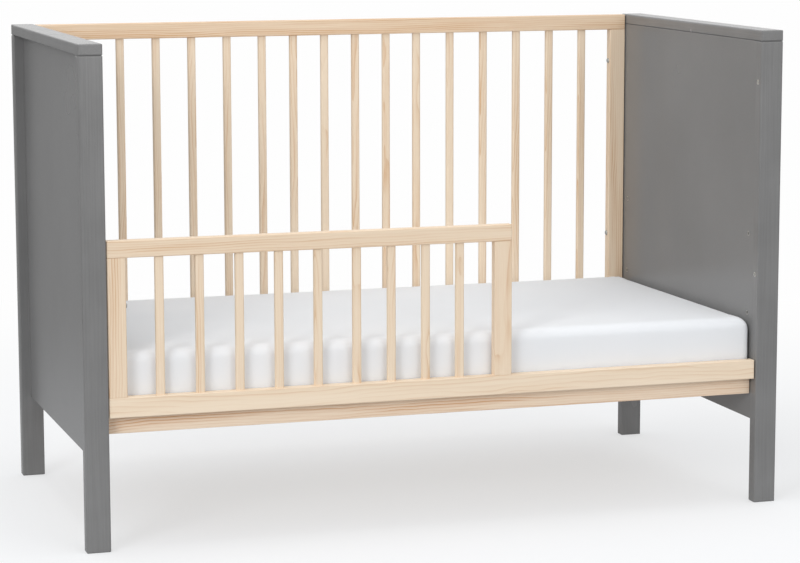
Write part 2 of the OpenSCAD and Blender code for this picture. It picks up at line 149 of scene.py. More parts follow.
floor_radius = 40.0
floor_drop = 0.0002            # keeps the floor from touching the posts' ends
fade_start = 0.5               # distances from the crib's middle between which the floor fades
fade_end = 2.8
least_glow = 0.53              # the share of backdrop in the floor under the crib
floor_mesh = bpy.data.meshes.new("studio_floor")
floor_bmesh = bmesh.new()
bmesh.ops.create_circle(floor_bmesh, cap_ends=True, segments=64, radius=floor_radius,
                        matrix=Matrix.Translation((0, 0, -floor_drop)))
floor_bmesh.to_mesh(floor_mesh)
floor_bmesh.free()
studio_floor = bpy.data.objects.new("studio_floor", floor_mesh)
scene.collection.objects.link(studio_floor)
floor_material, tree = new_material("white_painted_floor")
place = add_node(tree, "ShaderNodeTexCoord")
away = add_node(tree, "ShaderNodeVectorMath", {0: place.outputs["Object"]}, operation="LENGTH")
fade = add_node(tree, "ShaderNodeMapRange",
                {"Value": away.outputs["Value"], "From Min": fade_start, "From Max": fade_end,
                 "To Min": least_glow, "To Max": 1.0}, interpolation_type="SMOOTHSTEP")
painted = add_node(tree, "ShaderNodeBsdfDiffuse", {"Color": colour("#f1f4f8")})
# The floor's own glow lights the crib from below far less than it shows.
glow_on_crib = 0.3
path = add_node(tree, "ShaderNodeLightPath")
glow_strength = add_node(tree, "ShaderNodeMapRange",
                         {"Value": path.outputs["Is Camera Ray"], "To Min": glow_on_crib,
                          "To Max": 1.0})
glow = add_node(tree, "ShaderNodeEmission",
                {"Color": colour("#fefefe"), "Strength": glow_strength.outputs["Result"]})
blended = add_node(tree, "ShaderNodeMixShader",
                   {0: fade.outputs["Result"], 1: painted.outputs["BSDF"],
                    2: glow.outputs["Emission"]})
finish_material(tree, blended.outputs["Shader"])
floor_mesh.materials.append(floor_material)


def soft_light(name, place, target, size, watts):
    """A square softbox at place that faces target."""
    data = bpy.data.lights.new(name, "AREA")
    data.size = size
    data.energy = watts
    lamp = bpy.data.objects.new(name, data)
    scene.collection.objects.link(lamp)
    aim = (Vector(target) - Vector(place)).to_track_quat("-Z", "Y")
    lamp.matrix_world = Matrix.Translation(place) @ aim.to_matrix().to_4x4()


soft_light("key_softbox", (-4.6, -4.6, 2.6), (0, 0, 0.4), 2.2, 130)
soft_light("top_softbox", (-0.62, -0.3, 2.9), (0.67, 0.0, 0.6), 0.9, 13)
soft_light("fill_softbox", (1.6, -5.8, 1.8), (0, 0, 0.5), 3.0, 52)


# --- Posts -------------------------------------------------------------------------------------
# Four pine posts, planed square with softened edges, which are also the legs. They are sprayed
# with two coats of satin grey lacquer, and the grain still shows as fine upright streaks.
paint_grey = "#787878"
paint_grey_worn = "#838383"
paint_gloss = 0.24


def dress(node_name, material):
    """Gives a CAD node its material."""
    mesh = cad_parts[node_name].data
    mesh.materials.clear()
    mesh.materials.append(material)


def grey_lacquer(name, streak_scale, streak_relief, mottle_scale):
    """Satin grey lacquer. streak_scale is how many streaks a metre holds along X, Y and Z."""
    material, tree = new_material(name)
    place = add_node(tree, "ShaderNodeTexCoord")
    stretched = add_node(tree, "ShaderNodeMapping",
                         {"Vector": place.outputs["Object"], "Scale": streak_scale})
    streaks = add_node(tree, "ShaderNodeTexNoise",
                       {"Vector": stretched.outputs["Vector"], "Scale": 1.0, "Detail": 4.0,
                        "Roughness": 0.6})
    mottle = add_node(tree, "ShaderNodeTexNoise",
                      {"Vector": place.outputs["Object"], "Scale": mottle_scale, "Detail": 3.0})
    mixed = add_node(tree, "ShaderNodeMath",
                     {0: streaks.outputs["Fac"], 1: mottle.outputs["Fac"]}, operation="ADD")
    tone = add_node(tree, "ShaderNodeMapRange",
                    {"Value": mixed.outputs["Value"], "From Min": 0.7, "From Max": 1.3})
    tint = add_node(tree, "ShaderNodeMix",
                    {"Factor": tone.outputs["Result"], "A": colour(paint_grey),
                     "B": colour(paint_grey_worn)}, data_type="RGBA")
    shine = add_node(tree, "ShaderNodeMapRange",
                     {"Value": mottle.outputs["Fac"], "To Min": paint_gloss - 0.05,
                      "To Max": paint_gloss + 0.07})
    relief = add_node(tree, "ShaderNodeBump",
                      {"Height": streaks.outputs["Fac"], "Strength": 0.35,
                       "Distance": streak_relief})
    skin = add_node(tree, "ShaderNodeBsdfPrincipled",
                    {"Base Color": tint.outputs["Result"], "Roughness": shine.outputs["Result"],
                     "IOR": 1.5, "Normal": relief.outputs["Normal"]})
    finish_material(tree, skin.outputs["BSDF"])
    return material


# Streaks 3 mm apart across the grain and 160 mm long.
post_paint = grey_lacquer("lacquered_pine_post", (330, 330, 6), 0.0009, 9)
for post in ("left_front_post", "left_rear_post", "right_front_post", "right_rear_post"):
    dress(post, post_paint)


# --- End boards --------------------------------------------------------------------------------
# Two solid boards of 26 mm fibreboard between the posts, doweled in and set flush with their inner
# faces. The same grey lacquer lies smooth on them, with only the faint orange peel of the spray.
board_paint = grey_lacquer("sprayed_fibreboard", (520, 520, 520), 0.00012, 3)
for board in ("left_end_panel", "right_end_panel"):
    dress(board, board_paint)


# --- Caps --------------------------------------------------------------------------------------
# A pine cap board lies on each end frame, glued and doweled, with a fine shadow line under it.
# It is lacquered with the frame; its grain runs front to back.
cap_paint = grey_lacquer("lacquered_pine_cap", (330, 6, 330), 0.0005, 9)
for cap in ("left_top_cap", "right_top_cap"):
    dress(cap, cap_paint)


# --- Pine rails and stiles ---------------------------------------------------------------------
# The back, the guard and the front rail are planed pale pine under a clear matt lacquer. Each
# board is cut from its own part of the log, so its growth rings lie and lean in their own way.
pine_light = "#f3e1c9"
pine_dark = "#d3a87c"
ring_width = 0.0042


def pine_board(name, along, seed, light, dark, contrast=1.0):
    """Lacquered pine for one board. along is its grain axis, and seed chooses its place in the
    log: the rings are circles round the pith, seen where the board's faces cut them."""
    draw = random.Random(seed)
    turn = {"X": (0, math.pi / 2, 0), "Y": (math.pi / 2, 0, 0), "Z": (0, 0, 0)}[along]
    lean = [math.radians(draw.uniform(-0.9, 0.9)) for _ in range(2)]
    pith = (draw.uniform(0.05, 0.16) * draw.choice((-1, 1)), draw.uniform(-0.10, 0.10),
            draw.uniform(-3, 3))
    material, tree = new_material(name)
    place = add_node(tree, "ShaderNodeTexCoord")
    log = add_node(tree, "ShaderNodeMapping",
                   {"Vector": place.outputs["Object"], "Location": pith,
                    "Rotation": (turn[0] + lean[0], turn[1] + lean[1], turn[2])})
    # The stem is never quite round or straight: it wanders by 15 mm over half a metre.
    slow = add_node(tree, "ShaderNodeMapping",
                    {"Vector": log.outputs["Vector"], "Scale": (9, 9, 2.6)})
    wander = add_node(tree, "ShaderNodeTexNoise",
                      {"Vector": slow.outputs["Vector"], "Scale": 1.0, "Detail": 3.0})
    shift = add_node(tree, "ShaderNodeVectorMath",
                     {0: wander.outputs["Color"], 1: (0.030, 0.030, 0.0)}, operation="MULTIPLY")
    flat = add_node(tree, "ShaderNodeVectorMath",
                    {0: log.outputs["Vector"], 1: (1.0, 1.0, 0.0)}, operation="MULTIPLY")
    bent = add_node(tree, "ShaderNodeVectorMath",
                    {0: flat.outputs["Vector"], 1: shift.outputs["Vector"]}, operation="ADD")
    radius = add_node(tree, "ShaderNodeVectorMath", {0: bent.outputs["Vector"]},
                      operation="LENGTH")
    rings = add_node(tree, "ShaderNodeMath",
                     {0: radius.outputs["Value"], 1: ring_width}, operation="DIVIDE")
    year = add_node(tree, "ShaderNodeMath", {0: rings.outputs["Value"]}, operation="FRACT")
    # Each year's wood darkens slowly towards its late wood and ends at a sharp line.
    growth = add_node(tree, "ShaderNodeValToRGB", {"Fac": year.outputs["Value"]})
    ramp = growth.color_ramp
    ramp.elements[0].position, ramp.elements[0].color = 0.0, (0.35, 0.35, 0.35, 1)
    ramp.elements[1].position, ramp.elements[1].color = 1.0, (0.85, 0.85, 0.85, 1)
    for position, depth in ((0.08, 0.05), (0.55, 0.12), (0.86, 0.62), (0.94, 1.0)):
        ramp.elements.new(position).color = (depth, depth, depth, 1)
    # Fibres are 1 mm apart so that they show; the real ones are finer.
    fine = add_node(tree, "ShaderNodeMapping",
                    {"Vector": log.outputs["Vector"], "Scale": (950, 950, 11)})
    fibres = add_node(tree, "ShaderNodeTexNoise",
                      {"Vector": fine.outputs["Vector"], "Scale": 1.0, "Detail": 3.0,
                       "Roughness": 0.65})
    # Some years are dark and some hardly show, in streaks 15 mm wide and half a metre long.
    broad = add_node(tree, "ShaderNodeMapping",
                     {"Vector": log.outputs["Vector"], "Scale": (65, 65, 2.2)})
    bands = add_node(tree, "ShaderNodeTexNoise",
                     {"Vector": broad.outputs["Vector"], "Scale": 1.0, "Detail": 2.0})
    boldness = add_node(tree, "ShaderNodeMapRange",
                        {"Value": bands.outputs["Fac"], "From Min": 0.42, "From Max": 0.66,
                         "To Min": 0.12 * contrast, "To Max": 0.75 * contrast})
    ring_share = add_node(tree, "ShaderNodeMath",
                          {0: growth.outputs["Color"], 1: boldness.outputs["Result"]},
                          operation="MULTIPLY")
    fibre_share = add_node(tree, "ShaderNodeMath",
                           {0: fibres.outputs["Fac"], 1: 0.45 * contrast,
                            2: ring_share.outputs["Value"]}, operation="MULTIPLY_ADD")
    all_shares = add_node(tree, "ShaderNodeMath",
                          {0: bands.outputs["Fac"], 1: 0.30,
                           2: fibre_share.outputs["Value"]}, operation="MULTIPLY_ADD")
    depth = add_node(tree, "ShaderNodeMapRange",
                     {"Value": all_shares.outputs["Value"], "From Min": 0.22,
                      "From Max": 1.05})
    tint = add_node(tree, "ShaderNodeMix",
                    {"Factor": depth.outputs["Result"], "A": colour(light), "B": colour(dark)},
                    data_type="RGBA")
    relief = add_node(tree, "ShaderNodeBump",
                      {"Height": all_shares.outputs["Value"], "Strength": 0.25,
                       "Distance": 0.0004}, invert=True)
    skin = add_node(tree, "ShaderNodeBsdfPrincipled",
                    {"Base Color": tint.outputs["Result"], "Roughness": 0.48, "IOR": 1.5,
                     "Normal": relief.outputs["Normal"]})
    finish_material(tree, skin.outputs["BSDF"])
    return material


lying_pine = ("back_top_rail", "back_bottom_rail", "guard_top_rail", "front_bottom_rail")
standing_pine = ("back_left_stile", "back_right_stile", "guard_left_stile", "guard_right_stile")
# The front rail is clear, quiet wood, and the back's top rail the most figured.
rail_contrast = {"back_top_rail": 1.7, "front_bottom_rail": 0.5}
for number, board in enumerate(lying_pine):
    dress(board, pine_board(board + "_pine", "X", 10 + number, pine_light, pine_dark,
                            rail_contrast.get(board, 1.0)))
for number, board in enumerate(standing_pine):
    dress(board, pine_board(board + "_pine", "Z", 20 + number, pine_light, pine_dark))


# --- Slats -------------------------------------------------------------------------------------
# Sixteen slats in the back and nine in the guard, 17 x 11 mm pine with rounded edges, tenoned
# into the rails before the lacquer. They are cut from narrower, straighter wood.
slat_names = sorted(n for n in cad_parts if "_slat_" in n and not n.startswith("base"))
for number, slat in enumerate(slat_names):
    dress(slat, pine_board(slat + "_pine", "Z", 40 + number, pine_light, pine_dark, 0.8))


# --- Mattress base -----------------------------------------------------------------------------
# A frame of 14 mm sanded pine with eleven cross slats let into its long rails. It isn't
# lacquered, so it is yellower than the sides and its late wood stands out.
base_light = "#f8e9d4"
base_dark = "#cc9a6e"
for number, (board, along) in enumerate((("base_front_rail", "X"), ("base_rear_rail", "X"),
                                         ("base_left_rail", "Y"), ("base_right_rail", "Y"),
                                         ("base_slats", "Y"))):
    dress(board, pine_board(board + "_pine", along, 80 + number, base_light, base_dark, 1.25))


# --- Dowels ------------------------------------------------------------------------------------
# Fluted beech dowels, glued into the posts, boards, rails and stiles. They are hidden inside.
for number, dowels in enumerate(("left_frame_dowels", "right_frame_dowels", "side_dowels",
                                 "base_dowels")):
    dress(dowels, pine_board(dowels + "_beech", "Z", 90 + number, "#d9b68a", "#b98a58", 0.4))


# --- Inserts, bolts and nuts -------------------------------------------------------------------
# Zinc-plated steel, turned and rolled: threaded inserts screwed into the wood, M6 bolts with a
# hexagon socket, connector bolts and slotted barrel nuts.
def plated_steel(name, hex_code, roughness, wear):
    """Plated steel with fine specks in its shine and surface."""
    material, tree = new_material(name)
    place = add_node(tree, "ShaderNodeTexCoord")
    specks = add_node(tree, "ShaderNodeTexNoise",
                      {"Vector": place.outputs["Object"], "Scale": 900.0, "Detail": 2.0})
    shine = add_node(tree, "ShaderNodeMapRange",
                     {"Value": specks.outputs["Fac"], "To Min": roughness,
                      "To Max": roughness + wear})
    relief = add_node(tree, "ShaderNodeBump",
                      {"Height": specks.outputs["Fac"], "Strength": 0.2, "Distance": 0.0001})
    metal = add_node(tree, "ShaderNodeBsdfPrincipled",
                     {"Base Color": colour(hex_code), "Metallic": 1.0,
                      "Roughness": shine.outputs["Result"], "Normal": relief.outputs["Normal"]})
    finish_material(tree, metal.outputs["BSDF"])
    return material


# The posts' inserts, the nuts and the screws get the zinc lightened as painted highlight; the end
# boards' inserts get the same plating darkened as painted shade, and the bolts are duller.
zinc_with_painted_highlight = plated_steel("zinc_plated_insert_painted_highlight", "#dcdcd8", 0.28, 0.2)
dull_zinc = plated_steel("zinc_plated_bolt", "#b9b9b6", 0.34, 0.2)
zinc_with_painted_shade = plated_steel("zinc_plated_panel_insert_painted_shade", "#b6b6b3", 0.42, 0.2)
dress("barrel_nuts", zinc_with_painted_highlight)
dress("connector_bolts", dull_zinc)


def solids(node_name):
    """The lowest and highest corner of each separate solid in a CAD node."""
    copy = bmesh.new()
    copy.from_mesh(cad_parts[node_name].data)
    bmesh.ops.remove_doubles(copy, verts=copy.verts, dist=1e-6)
    found, seen = [], set()
    for start in copy.verts:
        if start in seen:
            continue
        seen.add(start)
        group, ahead = [], [start]
        while ahead:
            v = ahead.pop()
            group.append(v.co.copy())
            for edge in v.link_edges:
                other = edge.other_vert(v)
                if other not in seen:
                    seen.add(other)
                    ahead.append(other)
        found.append([Vector(pick(c[axis] for c in group) for axis in range(3))
                      for pick in (min, max)])
    copy.free()
    return found


def mouth(lo, hi, way):
    """The centre of a solid's end face in the direction way, which lies along one axis."""
    centre = (lo + hi) / 2
    return Vector((hi if way[k] > 0 else lo)[k] if way[k] else centre[k] for k in range(3))


def new_tree(name, inputs):
    """A Geometry Nodes tree with named number inputs, and its input node."""
    tree = bpy.data.node_groups.new(name, "GeometryNodeTree")
    tree.interface.new_socket("Geometry", in_out="INPUT", socket_type="NodeSocketGeometry")
    for label, start in inputs.items():
        socket = tree.interface.new_socket(label, in_out="INPUT", socket_type="NodeSocketFloat")
        socket.default_value = start
    tree.interface.new_socket("Material", in_out="INPUT", socket_type="NodeSocketMaterial")
    tree.interface.new_socket("Geometry", in_out="OUTPUT", socket_type="NodeSocketGeometry")
    return tree, add_node(tree, "NodeGroupInput")


def join(tree, *parts):
    """Joins the geometry of several nodes' first outputs."""
    joined = add_node(tree, "GeometryNodeJoinGeometry")
    for part in parts:
        tree.links.new(part.outputs[0], joined.inputs[0])
    return joined


def combine(tree, x=0.0, y=0.0, z=0.0):
    """A vector from numbers or sockets."""
    return add_node(tree, "ShaderNodeCombineXYZ", {0: x, 1: y, 2: z}).outputs[0]


def scaled(tree, value, factor):
    """A socket's number times a constant."""
    return add_node(tree, "ShaderNodeMath", {0: value, 1: factor},
                    operation="MULTIPLY").outputs[0]


def rod(tree, sides, radius, depth, base):
    """An upright rod whose lower end stands at height base."""
    made = add_node(tree, "GeometryNodeMeshCylinder",
                    {"Vertices": sides, "Radius": radius, "Depth": depth})
    middle = add_node(tree, "ShaderNodeMath", {0: depth, 1: 0.5, 2: base},
                      operation="MULTIPLY_ADD")
    return add_node(tree, "GeometryNodeTransform",
                    {"Geometry": made.outputs["Mesh"],
                     "Translation": combine(tree, z=middle.outputs[0])})


def cut(tree, body, *tools):
    """Takes the tools' shapes out of a body."""
    made = add_node(tree, "GeometryNodeMeshBoolean", {"Mesh 1": body.outputs[0]},
                    operation="DIFFERENCE")
    for tool in tools:
        tree.links.new(tool.outputs[0], made.inputs["Mesh 2"])
    return made


def finish_tree(tree, group, shape):
    """Puts the shape on every point, turned along the point's facing, and gives it the material."""
    facing = add_node(tree, "GeometryNodeInputNamedAttribute", {"Name": "facing"},
                      data_type="FLOAT_VECTOR")
    turn = add_node(tree, "FunctionNodeAlignRotationToVector",
                    {"Vector": facing.outputs["Attribute"]}, axis="Z")
    placed = add_node(tree, "GeometryNodeInstanceOnPoints",
                      {"Points": group.outputs["Geometry"], "Instance": shape.outputs[0],
                       "Rotation": turn.outputs["Rotation"]})
    real = add_node(tree, "GeometryNodeRealizeInstances", {"Geometry": placed.outputs[0]})
    dressed = add_node(tree, "GeometryNodeSetMaterial",
                       {"Geometry": real.outputs[0], "Material": group.outputs["Material"]})
    add_node(tree, "NodeGroupOutput", {"Geometry": dressed.outputs[0]})


def evaluated_mesh(piece):
    """The mesh that a piece's modifiers make, as a mesh of its own."""
    depsgraph = bpy.context.evaluated_depsgraph_get()
    depsgraph.update()
    return bpy.data.meshes.new_from_object(piece.evaluated_get(depsgraph))


def apply_modifiers(piece):
    """Turns a piece's modifiers into plain mesh."""
    mesh = evaluated_mesh(piece)
    piece.modifiers.clear()
    piece.data = mesh


def grow(name, mesh, tree, material, **sizes):
    """Runs a tree on a mesh and returns its result as a plain piece."""
    piece = bpy.data.objects.new(name, mesh)
    scene.collection.objects.link(piece)
    made = piece.modifiers.new("shape", "NODES")
    made.node_group = tree
    sockets = {item.name: item.identifier for item in tree.interface.items_tree
               if item.in_out == "INPUT"}
    for label, value in sizes.items():
        made[sockets[label]] = value
    made[sockets["Material"]] = material
    apply_modifiers(piece)
    return piece


def marked_points(name, marks):
    """A mesh of single points, each with the direction that it faces."""
    mesh = bpy.data.meshes.new(name)
    mesh.from_pydata([tuple(place) for place, _ in marks], [], [])
    facing = mesh.attributes.new("facing", "FLOAT_VECTOR", "POINT")
    facing.data.foreach_set("vector", [x for _, way in marks for x in way])
    return mesh


def inwards(node_name):
    """The inner end of each of a node's solids, which all lie along X."""
    marks = []
    for lo, hi in solids(node_name):
        way = Vector((-1.0 if lo.x > 0 else 1.0, 0.0, 0.0))
        marks.append((mouth(lo, hi, way), way))
    return marks


# Button-head bolts: a rolled shank, a flat rim and a chamfered head with a hexagon socket.
bolt_head_height = 0.003
bolt_tree, group = new_tree("button_head_bolt",
                            {"Head": 0.0055, "Height": bolt_head_height, "Socket": 0.0023,
                             "Shank": 0.0029, "Length": 0.04})
rim_height = scaled(bolt_tree, group.outputs["Height"], 0.4)
crown_height = scaled(bolt_tree, group.outputs["Height"], 0.6)
below_head = scaled(bolt_tree, group.outputs["Height"], -1.0)
rim = rod(bolt_tree, 32, group.outputs["Head"], rim_height, below_head)
crown = add_node(bolt_tree, "GeometryNodeMeshCone",
                 {"Vertices": 32, "Radius Top": scaled(bolt_tree, group.outputs["Head"], 0.68),
                  "Radius Bottom": group.outputs["Head"], "Depth": crown_height})
raised = add_node(bolt_tree, "GeometryNodeTransform",
                  {"Geometry": crown.outputs["Mesh"],
                   "Translation": combine(bolt_tree,
                                          z=scaled(bolt_tree, crown_height, -1.0))})
key_hole = rod(bolt_tree, 6, group.outputs["Socket"], group.outputs["Height"],
               scaled(bolt_tree, crown_height, -0.95))
below_shank = add_node(bolt_tree, "ShaderNodeMath",
                       {0: below_head, 1: group.outputs["Length"]}, operation="SUBTRACT")
shank = rod(bolt_tree, 20, group.outputs["Shank"], group.outputs["Length"],
            below_shank.outputs[0])
finish_tree(bolt_tree, group,
            join(bolt_tree, rim, cut(bolt_tree, raised, key_hole), shank))

for node_name in ("side_bolts", "base_bolts"):
    lo, hi = solids(node_name)[0]
    bolts = grow(node_name[:-1] + "_set", marked_points(node_name, inwards(node_name)),
                 bolt_tree, dull_zinc, Head=(hi.z - lo.z) / 2,
                 Length=hi.x - lo.x - bolt_head_height)
    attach(bolts, "crib")
    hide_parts(node_name)

# Screw-in inserts: a turned tube with a rolled thread inside its mouth.
insert_tree, group = new_tree("threaded_insert",
                              {"Outside": 0.005, "Bore": 0.003, "Length": 0.013,
                               "Pitch": 0.001, "Turns": 7.0})
below = scaled(insert_tree, group.outputs["Length"], -1.0)
tube = rod(insert_tree, 40, group.outputs["Outside"], group.outputs["Length"], below)
longer = scaled(insert_tree, group.outputs["Length"], 1.5)
drill = rod(insert_tree, 40, group.outputs["Bore"], longer,
            scaled(insert_tree, group.outputs["Length"], -1.25))
thread_depth = scaled(insert_tree, group.outputs["Pitch"], 0.45)
height = add_node(insert_tree, "ShaderNodeMath",
                  {0: group.outputs["Pitch"], 1: group.outputs["Turns"]}, operation="MULTIPLY")
helix = add_node(insert_tree, "GeometryNodeCurveSpiral",
                 {"Resolution": 16, "Rotations": group.outputs["Turns"],
                  "Start Radius": group.outputs["Bore"], "End Radius": group.outputs["Bore"],
                  "Height": height.outputs[0]})
ridge = add_node(insert_tree, "GeometryNodeCurvePrimitiveCircle",
                 {"Resolution": 3, "Radius": thread_depth})
thread = add_node(insert_tree, "GeometryNodeCurveToMesh",
                  {"Curve": helix.outputs["Curve"], "Profile Curve": ridge.outputs["Curve"],
                   "Fill Caps": True})
sunk = add_node(insert_tree, "ShaderNodeMath",
                {0: height.outputs[0], 1: -1.1}, operation="MULTIPLY")
thread_in = add_node(insert_tree, "GeometryNodeTransform",
                     {"Geometry": thread.outputs["Mesh"],
                      "Translation": combine(insert_tree, z=sunk.outputs[0])})
finish_tree(insert_tree, group, join(insert_tree, cut(insert_tree, tube, drill), thread_in))

# The posts' inserts get zinc lightened as painted highlight, the boards' inserts painted shade.
for node_name, zinc in (("post_inserts", zinc_with_painted_highlight), ("panel_inserts", zinc_with_painted_shade)):
    lo, hi = min(solids(node_name), key=lambda ends: ends[1].x - ends[0].x)
    inserts = grow(node_name[:-1] + "_set", marked_points(node_name, inwards(node_name)),
                   insert_tree, zinc, Outside=(hi.z - lo.z) / 2, Length=hi.x - lo.x)
    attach(inserts, "crib")
    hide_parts(node_name)

# Chipboard screws: a flat countersunk head with a cross recess.
screw_head_height = 0.002
screw_tree, group = new_tree("countersunk_screw",
                             {"Head": 0.0039, "Height": screw_head_height, "Shank": 0.0019,
                              "Length": 0.028, "Recess": 0.0045})
sink = add_node(screw_tree, "GeometryNodeMeshCone",
                {"Vertices": 24, "Radius Top": group.outputs["Head"],
                 "Radius Bottom": group.outputs["Shank"], "Depth": group.outputs["Height"]})
sunk_head = add_node(screw_tree, "GeometryNodeTransform",
                     {"Geometry": sink.outputs["Mesh"],
                      "Translation": combine(
                          screw_tree, z=scaled(screw_tree, group.outputs["Height"], -1.0))})
blades = []
for turn in (0.0, math.pi / 2):
    blade = add_node(screw_tree, "GeometryNodeMeshCube",
                     {"Size": combine(screw_tree, group.outputs["Recess"],
                                      scaled(screw_tree, group.outputs["Recess"], 0.24),
                                      group.outputs["Height"])})
    blades.append(add_node(screw_tree, "GeometryNodeTransform",
                           {"Geometry": blade.outputs["Mesh"], "Rotation": (0.0, 0.0, turn)}))
stem_base = add_node(screw_tree, "ShaderNodeMath",
                     {0: group.outputs["Length"], 1: -1.0, 2: -screw_head_height},
                     operation="MULTIPLY_ADD")
stem = rod(screw_tree, 12, group.outputs["Shank"], group.outputs["Length"],
           stem_base.outputs[0])
finish_tree(screw_tree, group, join(screw_tree, cut(screw_tree, sunk_head, *blades), stem))

up = Vector((0.0, 0.0, 1.0))
screw_marks = [(mouth(lo, hi, up), up) for lo, hi in solids("base_slat_screws")]
slat_screws = grow("base_slat_screw_set", marked_points("base_slat_screws", screw_marks),
                   screw_tree, zinc_with_painted_highlight)
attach(slat_screws, "crib")
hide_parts("base_slat_screws")


# --- Mattress ----------------------------------------------------------------------------------
# A foam block in a woven ticking cover. It is cut a little over size, so the cover pulls it
# round: the sides belly out, the edges soften and the top crowns between them.
mattress_lo, mattress_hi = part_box("mattress")
swell = 0.002                  # how far the cover may be pushed out of the cut block
foam_edge = 0.022              # radius of the cut block's edges
corner_power = 8               # the seams keep the four upright edges nearly square
back_drop = 0.007              # how much lower the foam has settled along the back
drop_power = 0.7               # below 1, more of that drop comes in the front half
net_size = 0.015               # size of the cover's quads
cover_pressure = 4.0           # of the foam on its cover
resting_height = 0.006         # the cover's lowest part, which the slats hold still


def net_lines(half, radius, size, steps=4):
    """Where a net's lines cross one axis of a rounded block: even steps along the flat, and
    steps of equal turn round each edge."""
    flat = half - radius
    count = max(2, round(2 * flat / size))
    turn = [flat + radius * math.tan(math.radians(45 * k / steps)) for k in range(1, steps + 1)]
    middle = [-flat + 2 * flat * k / count for k in range(count + 1)]
    return [-t for t in reversed(turn)] + middle + turn


def rounded_block(name, lo, hi, radius, size):
    """A closed block between two corners, with rounded edges and an even net of quads."""
    half, centre = (hi - lo) / 2, (hi + lo) / 2
    lines = [net_lines(half[axis], radius, size) for axis in range(3)]
    core = Vector(h - radius for h in half)

    def squared(out):
        """Pushes a round upright edge out towards a square one."""
        flat_length = math.hypot(out.x, out.y)
        if min(abs(out.x), abs(out.y)) < 1e-9:
            return out
        a, b = abs(out.x) / flat_length, abs(out.y) / flat_length
        push = (a ** corner_power + b ** corner_power) ** (-1 / corner_power)
        return Vector((out.x * push, out.y * push, out.z))

    block = bmesh.new()
    for axis in range(3):
        u, v = (axis + 1) % 3, (axis + 2) % 3
        for side in (-1, 1):
            rows = []
            for a in lines[u]:
                row = []
                for b in lines[v]:
                    point = Vector((0, 0, 0))
                    point[axis], point[u], point[v] = side * half[axis], a, b
                    inner = Vector(max(-c, min(c, x)) for c, x in zip(core, point))
                    place = inner + squared(radius * (point - inner).normalized()) + centre
                    row.append(block.verts.new(place))
                rows.append(row)
            for low, high in zip(rows, rows[1:]):
                for k in range(len(low) - 1):
                    corners = [low[k], high[k], high[k + 1], low[k + 1]]
                    block.faces.new(corners if side > 0 else corners[::-1])
    bmesh.ops.remove_doubles(block, verts=block.verts, dist=radius / 100)
    bmesh.ops.recalc_face_normals(block, faces=block.faces)
    mesh = bpy.data.meshes.new(name)
    block.to_mesh(mesh)
    block.free()
    made = bpy.data.objects.new(name, mesh)
    scene.collection.objects.link(made)
    return made


def inflate(piece, pressure, most, held_below):
    """Cloth simulation of a filled cover. No point moves further than most, and what lies on the
    slats stays there."""
    rest = [v.co.copy() for v in piece.data.vertices]
    held = piece.vertex_groups.new(name="held")
    held.add([i for i, co in enumerate(rest) if co.z < held_below], 1.0, "REPLACE")
    cloth = piece.modifiers.new("cover", "CLOTH")
    cloth.settings.quality = 4
    cloth.settings.mass = 0.35
    cloth.settings.tension_stiffness = 12
    cloth.settings.compression_stiffness = 12
    cloth.settings.bending_stiffness = 0.6
    cloth.settings.use_pressure = True
    cloth.settings.uniform_pressure_force = pressure
    cloth.settings.effector_weights.gravity = 0.0
    cloth.settings.vertex_group_mass = "held"
    cloth.collision_settings.use_self_collision = False
    for step in range(1, 21):
        scene.frame_set(step)
    blown = evaluated_mesh(piece)
    piece.modifiers.clear()
    for v, start in zip(blown.vertices, rest):
        move = v.co - start
        v.co = start + move * min(1.0, most / max(move.length, 1e-9))
    piece.data = blown
    piece.vertex_groups.clear()
    scene.frame_set(1)


foam_lo = mattress_lo + Vector((swell, swell, 0))
foam_hi = mattress_hi - Vector((swell, swell, swell))
mattress = rounded_block("foam_mattress", foam_lo, foam_hi, foam_edge, net_size)
inflate(mattress, cover_pressure, swell, foam_lo.z + resting_height)

# The top sinks towards the back, at first steeply and then less; the underside stays level.
for v in mattress.data.vertices:
    height = max(0.0, (v.co.z - foam_lo.z) / (foam_hi.z - foam_lo.z))
    backwards = max(0.0, (v.co.y - foam_lo.y) / (foam_hi.y - foam_lo.y))
    v.co.z -= back_drop * height * backwards ** drop_power
smooth = mattress.modifiers.new("smooth", "SUBSURF")
smooth.levels = smooth.render_levels = 1
apply_modifiers(mattress)
for polygon in mattress.data.polygons:
    polygon.use_smooth = True


